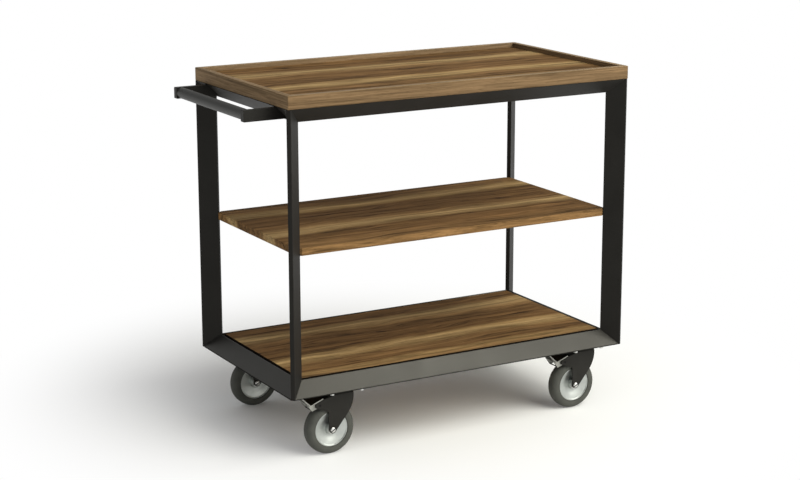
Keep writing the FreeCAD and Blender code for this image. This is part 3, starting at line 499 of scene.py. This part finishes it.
def pick_points(test):
    """Selects the points of the mesh in hand whose place passes the test."""
    mesh = bmesh.from_edit_mesh(bpy.context.object.data)
    for point in mesh.verts:
        point.select_set(test(point.co))
    mesh.select_flush_mode()
    bmesh.update_edit_mesh(bpy.context.object.data)


def edit(mode):
    """Starts editing the mesh in hand by points, edges or faces."""
    bpy.ops.object.mode_set(mode="EDIT")
    bpy.ops.mesh.select_mode(type=mode)


def bevelled(piece, width, segments):
    """Softens a piece's sharp edges."""
    bevel = piece.modifiers.new("soft_edges", "BEVEL")
    bevel.width = width
    bevel.segments = segments
    bevel.limit_method = "ANGLE"
    bevel.angle_limit = math.radians(30)
    bpy.ops.object.modifier_apply(modifier=bevel.name)
    bpy.ops.object.shade_smooth_by_angle(angle=math.radians(35))


def copied(piece, name, shift):
    """A copy of a piece with its own mesh, shifted."""
    take(piece)
    bpy.ops.object.duplicate(linked=False)
    bpy.ops.transform.translate(value=shift)
    return settle(name)


def wooden_lip(side):
    """One lip of the tray: a strip with mitred ends, eased so that the corner joints show as fine grooves."""
    node = "tray_lip_" + side
    low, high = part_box(node)
    middle = (low + high) / 2
    size = high - low
    deselect()
    bpy.ops.mesh.primitive_cube_add(size=1, location=middle, scale=size)
    lip = settle("eased_" + node)
    long_axis = 0 if size.x > size.y else 1
    short_axis = 1 - long_axis
    inner = low[short_axis] if middle[short_axis] > 0 else high[short_axis]
    edit("VERT")
    for end, direction in ((low[long_axis], 1), (high[long_axis], -1)):
        pick_points(lambda co: abs(co[long_axis] - end) < 1e-4 and abs(co[short_axis] - inner) < 1e-4)
        shift = [0, 0, 0]
        shift[long_axis] = direction * size[short_axis]
        bpy.ops.transform.translate(value=shift)
    bpy.ops.object.mode_set(mode="OBJECT")
    bevelled(lip, LIP_BEVEL, 3)
    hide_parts(node)
    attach(lip, "trolley_frame")
    return lip


def open_bore():
    """Deletes the picked end faces of the mesh in hand and joins their rims through the piece."""
    bpy.ops.mesh.delete(type="FACE")
    mesh = bmesh.from_edit_mesh(bpy.context.object.data)
    for edge in mesh.edges:
        edge.select_set(edge.is_boundary)
    mesh.select_flush_mode()
    bmesh.update_edit_mesh(bpy.context.object.data)
    bpy.ops.mesh.bridge_edge_loops()


# Radius and half width of the wheel disc's steps, from the rim inwards, in metres
DISC_STEPS = [
    (0.0432, 0.0160), (0.0422, 0.0144), (0.0405, 0.0140), (0.0360, 0.0131),
    (0.0300, 0.0115), (0.0240, 0.0097), (0.0200, 0.0087), (0.0150, 0.0083), (0.0138, 0.0190),
    (0.0132, HUB_HALF_WIDTH), (BORE_RADIUS, HUB_HALF_WIDTH),
]


def wheel_disc(axle):
    """The wheel's centre: a raised rim ring, a dished disc and a hub with a bore."""
    def end_face(middle, normal):
        return abs(normal.y) > 0.999 and (middle - axle).xz.length < 1e-4

    deselect()
    bpy.ops.mesh.primitive_cylinder_add(
        vertices=128, radius=DISC_RADIUS, depth=2 * RING_HALF_WIDTH, location=axle,
        rotation=(math.radians(90), 0, 0),
    )
    disc = settle("wheel_disc_front_left")
    edit("FACE")
    radius = DISC_RADIUS
    half = RING_HALF_WIDTH
    for next_radius, next_half in DISC_STEPS:
        pick_faces(end_face)
        bpy.ops.mesh.inset(thickness=radius - next_radius, depth=0, use_individual=True)
        for side in (-1, 1):
            pick_faces(lambda middle, normal: end_face(middle, normal) and normal.y * side > 0)
            bpy.ops.transform.translate(value=(0, side * (next_half - half), 0))
        radius = next_radius
        half = next_half
    pick_faces(end_face)
    open_bore()
    bpy.ops.mesh.select_all(action="SELECT")
    bpy.ops.mesh.normals_make_consistent(inside=False)
    bpy.ops.object.mode_set(mode="OBJECT")
    bevelled(disc, DISC_BEVEL, 2)
    return disc


# Radius and rise of the bolt head's steps: it widens from the shank, rises straight and closes in a dome
HEAD_STEPS = [
    (AXLE_HEAD_RADIUS, 0.0), (AXLE_HEAD_RADIUS, 0.0011), (0.0065, 0.0018), (0.0054, 0.0024),
    (0.0038, 0.0028), (0.0018, AXLE_HEAD_HEIGHT),
]


def domed_bolt(axle):
    """The axle bolt's shank with its domed head, which faces the front."""
    back = FORK_HALF_WIDTH + NUT_HEIGHT + AXLE_TIP
    deselect()
    bpy.ops.mesh.primitive_cylinder_add(
        vertices=48, radius=AXLE_RADIUS, depth=FORK_HALF_WIDTH + back, rotation=(math.radians(90), 0, 0),
        location=axle + Vector((0, (back - FORK_HALF_WIDTH) / 2, 0)),
    )
    bolt = settle("axle_bolt_front_left")
    edit("FACE")
    pick_faces(lambda middle, normal: normal.y < -0.999)
    radius = AXLE_RADIUS
    height = 0.0
    for next_radius, next_height in HEAD_STEPS:
        bpy.ops.mesh.extrude_region_move(TRANSFORM_OT_translate={"value": (0, height - next_height, 0)})
        bpy.ops.transform.resize(
            value=(next_radius / radius, 1, next_radius / radius),
            center_override=axle + Vector((0, -FORK_HALF_WIDTH - next_height, 0)),
        )
        radius = next_radius
        height = next_height
    bpy.ops.object.mode_set(mode="OBJECT")
    return bolt


def cut_slot(bolt, axle):
    """Cuts a screwdriver slot into a bolt's head, with walls darkened as a painted shadow."""
    deselect()
    bpy.ops.mesh.primitive_cube_add(
        size=1, scale=(0.02, 2 * SLOT_DEPTH, SLOT_WIDTH), rotation=(0, SLOT_TURN, 0),
        location=axle + Vector((0, -FORK_HALF_WIDTH - AXLE_HEAD_HEIGHT, 0)),
    )
    cutter = settle("slot_cutter")
    dress(cutter, slot_shade)
    dress(bolt, zinc)
    take(bolt)
    slot = bolt.modifiers.new("slot", "BOOLEAN")
    slot.operation = "DIFFERENCE"
    slot.object = cutter
    slot.material_mode = "TRANSFER"
    bpy.ops.object.modifier_apply(modifier=slot.name)
    bpy.data.objects.remove(cutter)
    bpy.ops.object.shade_smooth_by_angle(angle=math.radians(35))


def axle_bolt(axle):
    """A bolt with a domed and slotted head at the front and a chamfered nut at the back."""
    bolt = domed_bolt(axle)
    cut_slot(bolt, axle)
    deselect()
    bpy.ops.mesh.primitive_cylinder_add(
        vertices=6, radius=NUT_WIDTH / math.sqrt(3), depth=NUT_HEIGHT, rotation=(math.radians(90), 0, 0),
        location=axle + Vector((0, FORK_HALF_WIDTH + NUT_HEIGHT / 2, 0)),
    )
    nut = settle("axle_nut")
    dress(nut, zinc)
    bevelled(nut, NUT_BEVEL, 2)
    bolt.select_set(True)
    bpy.context.view_layer.objects.active = bolt
    bpy.ops.object.join()
    return bolt


# Finishes of the part's own nodes
frame_black = powder_coat("powder_coated_frame_steel", "#191816", "#1f1e1c", 0.48, 0.17)
# Copies of the frame's one black coat with lighter base tones for the top rails, legs and grip: painted light
# for how light falls on each
top_black = powder_coat("powder_coated_top_rail_steel", "#21201d", "#282624", 0.48, 0.18)
leg_black = powder_coat("powder_coated_leg_steel", "#1e1d1b", "#242321", 0.5, 0.12)
# A glossier copy of the same coat for the bottom rails, a painted sheen so they catch more of the side lamp
rail_black = powder_coat("sheen_powder_coated_rail_steel", "#1b1a18", "#21201e", 0.36, 0.45)
grip_black = powder_coat("powder_coated_grip_steel", "#2f2f2d", "#383836", 0.46, 0.22)
fork_black = powder_coat("black_coated_caster_steel", "#1b1a18", "#232220", 0.5, 0.2)
zinc = zinc_plate("zinc_plated_steel", "#c4c5bf", "#e2e2de", 0.3)
# Painted shadow: a dark finish for the inside of the bolt heads' slots
slot_shade = zinc_plate("slot_shadow_steel", "#0c0c0b", "#161513", 0.7)
rubber = moulded_rubber("moulded_grey_rubber")

NODE_FINISHES = (
    (("bottom_rail_",), rail_black),
    (("leg_",), leg_black),
    (("top_rail_",), top_black),
    (("handle_arm_", "cross_member_", "tray_tabs", "shelf_tabs"), frame_black),
    (("handle_grip",), grip_black),
    (("caster_fork_", "caster_plate_", "swivel_races"), fork_black),
    (("caster_tyre_",), rubber),
)
for name, piece in nodes.items():
    dress(piece, zinc)
    for starts, finish in NODE_FINISHES:
        if name.startswith(starts):
            dress(piece, finish)

# Boards and lips, each cut from another place in the wood
tray_middle = (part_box("tray_panel")[0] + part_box("tray_panel")[1]) / 2
tray_wood = walnut("oiled_walnut_tray", (-tray_middle.x, 0, -0.9), 0, BOARD_BANDS, **BOARD_GRAIN)
# The lower board carries painted shade along its outer edges
lower_wood = walnut(
    "oiled_walnut_board", (-tray_middle.x, 0, -0.2), 0, BOARD_BANDS,
    edges=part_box("lower_board"), **BOARD_GRAIN,
)
shelf_wood = walnut(
    "oiled_walnut_shelf", (tray_middle.x + 0.1, 0.068, -0.54), 180, BOARD_BANDS, **BOARD_GRAIN
)
dress(nodes["tray_panel"], tray_wood)
dress(nodes["lower_board"], lower_wood)
dress(nodes["middle_shelf"], shelf_wood)
# Each lip's wood origin, turn, bands and the strength of its painted top highlight
for side, origin, turn, bands, top_highlight in (
    ("front", (5.2, 0.3, -0.9), 0, LIP_BANDS, 0.45),
    ("rear", (7.4, 0.1, -0.9), 0, LIGHTENED_LIP_BANDS, 0.45),
    ("left", (2.3, 0.9, -0.9), 90, LIGHTENED_LIP_BANDS, 0.15),
    ("right", (4.6, 0.5, -0.9), 90, LIP_BANDS, 0.45),
):
    lip = wooden_lip(side)
    dress(lip, walnut("oiled_walnut_lip_" + side, origin, turn, bands, top_highlight=top_highlight, **LIP_GRAIN))

# Wheel discs and axle bolts, modelled once and copied under each corner
axles = {}
for corner in CORNERS:
    low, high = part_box("caster_tyre_" + corner)
    axles[corner] = (low + high) / 2
first = axles["front_left"]
first_disc = wheel_disc(first)
first_bolt = axle_bolt(first)
pin_offset = Vector((-PIN_DISTANCE * math.cos(PIN_ANGLE), 0, PIN_DISTANCE * math.sin(PIN_ANGLE)))
for corner in CORNERS:
    if corner == "front_left":
        disc = first_disc
        bolt = first_bolt
    else:
        shift = axles[corner] - first
        disc = copied(first_disc, "wheel_disc_" + corner, shift)
        bolt = copied(first_bolt, "axle_bolt_" + corner, shift)
    dress(disc, spun_disc("spun_zinc_wheel_disc_" + corner, axles[corner]))
    pedal_steel = pressed_pedal("pressed_pedal_steel_" + corner, axles[corner] + pin_offset)
    dress(nodes["brake_pedal_" + corner], pedal_steel)
    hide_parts("caster_rim_" + corner)
    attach(disc, "wheel_" + corner)
    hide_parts("caster_axle_" + corner)
    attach(bolt, "swivel_" + corner)

# Floor: white paper that holds the shadow and turns plain white away from it
FLOOR_SIZE = 24
SHADOW_MIDDLE = Vector((0.1, 0.2, 0))
SHADOW_REACH = 0.35
WHITE_FROM = 1.2
deselect()
bpy.ops.mesh.primitive_plane_add(size=FLOOR_SIZE, location=(0, 0, 0))
floor = bpy.context.object
floor.name = "floor"
floor_white, tree, place = new_material("white_studio_floor")
away = add(tree, "ShaderNodeMapping", {"Vector": place, "Location": -SHADOW_MIDDLE}).outputs["Vector"]
distance = add(tree, "ShaderNodeVectorMath", {0: away}, operation="LENGTH").outputs["Value"]
fade = add(
    tree, "ShaderNodeMapRange",
    {"Value": distance, "From Min": SHADOW_REACH, "From Max": WHITE_FROM, "To Min": 0.0, "To Max": 1.0},
    interpolation_type="SMOOTHSTEP",
).outputs["Result"]
paper = add(tree, "ShaderNodeBsdfDiffuse", {"Color": linear("#f9faf7")})
glow = add(tree, "ShaderNodeEmission", {"Color": (1, 1, 1, 1), "Strength": 1.0})
blend = add(tree, "ShaderNodeMixShader", {"Fac": fade, 1: paper.outputs[0], 2: glow.outputs[0]})
add(tree, "ShaderNodeOutputMaterial", {"Surface": blend.outputs[0]})
floor.data.materials.append(floor_white)

# Studio: white for the camera, an even fill, and for reflections white low down and behind and dark overhead
world = bpy.data.worlds.new("studio")
bpy.context.scene.world = world
world.use_nodes = True
tree = world.node_tree
tree.nodes.clear()
path = add(tree, "ShaderNodeLightPath").outputs
clear = add(
    tree, "ShaderNodeMath", {0: path["Is Camera Ray"], 1: path["Is Transmission Ray"]}, operation="MAXIMUM"
).outputs[0]
direction = add(tree, "ShaderNodeTexCoord").outputs["Generated"]
direction = add(tree, "ShaderNodeSeparateXYZ", {"Vector": direction}).outputs
overhead = add(
    tree, "ShaderNodeMapRange",
    {"Value": direction["Y"], "From Min": 0.0, "From Max": 0.7, "To Min": 0.15, "To Max": 0.5},
).outputs["Result"]
wall = add(
    tree, "ShaderNodeMapRange",
    {"Value": direction["Z"], "From Min": 0.0, "From Max": 0.22, "To Min": 0.9, "To Max": overhead},
    interpolation_type="SMOOTHSTEP",
).outputs["Result"]
fill = add(tree, "ShaderNodeBackground", {"Color": linear("#fdfdff"), "Strength": 0.4})
mirrored = add(tree, "ShaderNodeBackground", {"Color": (1, 1, 1, 1), "Strength": wall})
white = add(tree, "ShaderNodeBackground", {"Color": (1, 1, 1, 1), "Strength": 1.0})
room = add(
    tree, "ShaderNodeMixShader", {"Fac": path["Is Glossy Ray"], 1: fill.outputs[0], 2: mirrored.outputs[0]}
)
room = add(tree, "ShaderNodeMixShader", {"Fac": clear, 1: room.outputs[0], 2: white.outputs[0]})
add(tree, "ShaderNodeOutputWorld", {"Surface": room.outputs[0]})

# Lamps: a large softbox at the front right, and a small high one for the sheen on the front rails
LAMP_DISTANCE = 6
LAMP_TONE = "#fffdf6"
AIM = Vector((0, 0, 0.4))
for name, towards, size, power in (
    ("key_softbox", Vector((0.45, -0.68, 0.58)), 6.0, 490),
    ("side_softbox", Vector((0.49, -0.24, 0.84)), 1.0, 25),
):
    lamp = bpy.data.lights.new(name, "AREA")
    lamp.shape = "SQUARE"
    lamp.size = size
    lamp.energy = power
    lamp.color = linear(LAMP_TONE)[:3]
    holder = bpy.data.objects.new(name, lamp)
    bpy.context.scene.collection.objects.link(holder)
    holder.location = AIM + towards.normalized() * LAMP_DISTANCE
    holder.rotation_euler = towards.to_track_quat("Z", "Y").to_euler()

# Camera at the photograph's angle
CAMERA_PLACE = (-2.41612, -4.28375, 1.65203)
CAMERA_AZIMUTH = math.radians(-29.487)
CAMERA_ELEVATION = math.radians(13.511)
CAMERA_ROLL = math.radians(-0.103)
camera_data = bpy.data.cameras.new("camera")
camera_data.sensor_width = 36.0
camera_data.lens = 85.153
camera = bpy.data.objects.new("camera", camera_data)
bpy.context.scene.collection.objects.link(camera)
heading = Matrix.Rotation(CAMERA_AZIMUTH, 4, "Z")
tilt = Matrix.Rotation(math.radians(90) - CAMERA_ELEVATION, 4, "X")
roll = Matrix.Rotation(CAMERA_ROLL, 4, "Z")
camera.matrix_world = Matrix.Translation(CAMERA_PLACE) @ heading @ tilt @ roll
bpy.context.scene.camera = camera
bpy.context.scene.view_settings.view_transform = "Standard"
